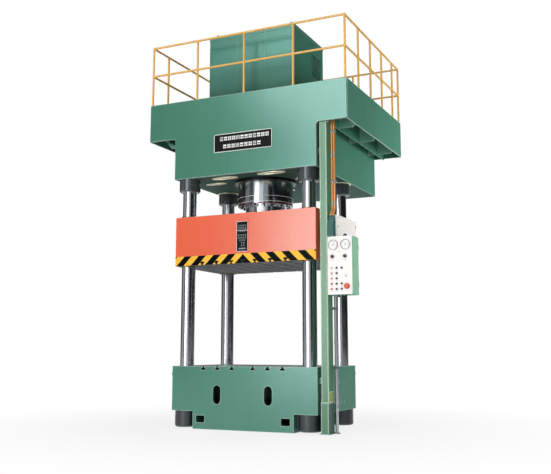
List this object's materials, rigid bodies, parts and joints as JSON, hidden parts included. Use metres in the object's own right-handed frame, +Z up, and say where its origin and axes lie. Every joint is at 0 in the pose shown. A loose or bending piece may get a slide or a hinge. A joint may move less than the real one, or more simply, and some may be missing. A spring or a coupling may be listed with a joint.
{
  "type": "four-column hydraulic press",
  "caption": "Hydraulic press: bed with T-slots, round columns, sliding platen on a ram, crown with railed platform and machinery housing, and a side control box.",
  "frame": {"origin": "on the floor under the bed, at the centre of the column pattern", "axes": "+Z up along the ram, -Y towards the operator, +X to the operator's right"},
  "size_m": [3.498, 2.795, 6.307],
  "materials": {
    "green_paint": "semi-gloss green enamel",
    "red_paint": "semi-gloss orange-red enamel",
    "polished_steel": "ground and polished",
    "black_steel": "blackened steel",
    "turned_steel": "fine turned",
    "bronze": "machined bronze",
    "yellow_paint": "yellow enamel",
    "black_plate": "black enamel with a white border",
    "grey_paint": "grey enamel",
    "copper": "drawn copper",
    "zinc_steel": "zinc plated",
    "cream_paint": "satin cream enamel",
    "black_plastic": "moulded",
    "red_plastic": "moulded",
    "lamp_plastic": "ribbed lens",
    "bezel_metal": "satin",
    "gauge_glass": "clear",
    "needle_paint": "black"
  },
  "bodies": {
    "press_frame": {"bed_frame": "green_paint", "bed_table": "green_paint", "crown_body": "green_paint", "crown_front_plate": "green_paint", "platform_skirts": "green_paint", "platform_ribs": "green_paint", "platform_stringers": "green_paint", "platform_deck": "green_paint", "machinery_housing": "green_paint", "duct_post": "green_paint", "duct_base": "green_paint", "duct_brackets": "green_paint", "control_box": "green_paint", "junction_box": "green_paint", "column_front_left": "polished_steel", "column_front_right": "polished_steel", "column_rear_left": "polished_steel", "column_rear_right": "polished_steel", "column_nuts_lower": "black_steel", "column_nuts_inner": "black_steel", "column_nuts_top": "black_steel", "cylinder_rings": "black_steel", "main_cylinder": "turned_steel", "railing_front": "yellow_paint", "railing_rear": "yellow_paint", "railing_right": "yellow_paint", "railing_left": "yellow_paint", "name_plate": "black_plate", "pump_unit": "grey_paint", "filling_valve": "grey_paint", "pressure_pipes": "copper", "clamps": "zinc_steel", "conduit": "zinc_steel", "control_panel": "cream_paint", "terminal_cabinet": "cream_paint", "signal_dome": "black_plastic", "indicator_lamps": "lamp_plastic", "button_bezels": "bezel_metal", "gauge_cases": "bezel_metal", "gauge_glasses": "gauge_glass"},
    "slider": {"slider_frame": "red_paint", "slider_platen": "red_paint", "guide_bushes": "bronze", "ram": "polished_steel", "ram_bolts": "black_steel", "data_plate": "black_plate"},
    "start_button": {"button_start": "black_plastic"},
    "return_button": {"button_return": "black_plastic"},
    "inch_button": {"button_inch": "black_plastic"},
    "half_button": {"button_half": "black_plastic"},
    "lower_button": {"button_lower": "black_plastic"},
    "raise_button": {"button_raise": "black_plastic"},
    "halt_button": {"button_halt": "red_plastic"},
    "cushion_up_button": {"button_cushion_up": "black_plastic"},
    "cushion_down_button": {"button_cushion_down": "black_plastic"},
    "stop_button": {"emergency_stop": "red_plastic"},
    "knob_left": {"regulator_knob_left": "black_plastic"},
    "knob_right": {"regulator_knob_right": "black_plastic"},
    "needle_left": {"gauge_needle_left": "needle_paint"},
    "needle_right": {"gauge_needle_right": "needle_paint"}
  },
  "joints": [
    {"name": "slider_travel", "type": "slide", "parent": "press_frame", "child": "slider", "axis": [0, 0, 1], "range_m": [-0.9, 0.08]},
    {"name": "start_press", "type": "slide", "parent": "press_frame", "child": "start_button", "axis": [0, 1, 0], "range_m": [0, 0.005], "stiffness_N_per_m": 600},
    {"name": "return_press", "type": "slide", "parent": "press_frame", "child": "return_button", "axis": [0, 1, 0], "range_m": [0, 0.005], "stiffness_N_per_m": 600},
    {"name": "inch_press", "type": "slide", "parent": "press_frame", "child": "inch_button", "axis": [0, 1, 0], "range_m": [0, 0.005], "stiffness_N_per_m": 600},
    {"name": "half_press", "type": "slide", "parent": "press_frame", "child": "half_button", "axis": [0, 1, 0], "range_m": [0, 0.005], "stiffness_N_per_m": 600},
    {"name": "lower_press", "type": "slide", "parent": "press_frame", "child": "lower_button", "axis": [0, 1, 0], "range_m": [0, 0.005], "stiffness_N_per_m": 600},
    {"name": "raise_press", "type": "slide", "parent": "press_frame", "child": "raise_button", "axis": [0, 1, 0], "range_m": [0, 0.005], "stiffness_N_per_m": 600},
    {"name": "halt_press", "type": "slide", "parent": "press_frame", "child": "halt_button", "axis": [0, 1, 0], "range_m": [0, 0.005], "stiffness_N_per_m": 600},
    {"name": "cushion_up_press", "type": "slide", "parent": "press_frame", "child": "cushion_up_button", "axis": [0, 1, 0], "range_m": [0, 0.005], "stiffness_N_per_m": 600},
    {"name": "cushion_down_press", "type": "slide", "parent": "press_frame", "child": "cushion_down_button", "axis": [0, 1, 0], "range_m": [0, 0.005], "stiffness_N_per_m": 600},
    {"name": "stop_press", "type": "slide", "parent": "press_frame", "child": "stop_button", "axis": [0, 1, 0], "range_m": [0, 0.008], "stiffness_N_per_m": 1500},
    {"name": "knob_left_turn", "type": "hinge", "parent": "press_frame", "child": "knob_left", "pos_m": [1.466, -0.81, 2.52], "axis": [0, 1, 0], "range_deg": [-135, 135]},
    {"name": "knob_right_turn", "type": "hinge", "parent": "press_frame", "child": "knob_right", "pos_m": [1.66, -0.81, 2.52], "axis": [0, 1, 0], "range_deg": [-135, 135]},
    {"name": "needle_left_turn", "type": "hinge", "parent": "press_frame", "child": "needle_left", "pos_m": [1.481, -0.805, 2.689], "axis": [0, 1, 0], "range_deg": [-160, 110]},
    {"name": "needle_right_turn", "type": "hinge", "parent": "press_frame", "child": "needle_right", "pos_m": [1.67, -0.805, 2.689], "axis": [0, 1, 0], "range_deg": [-160, 110]}
  ]
}
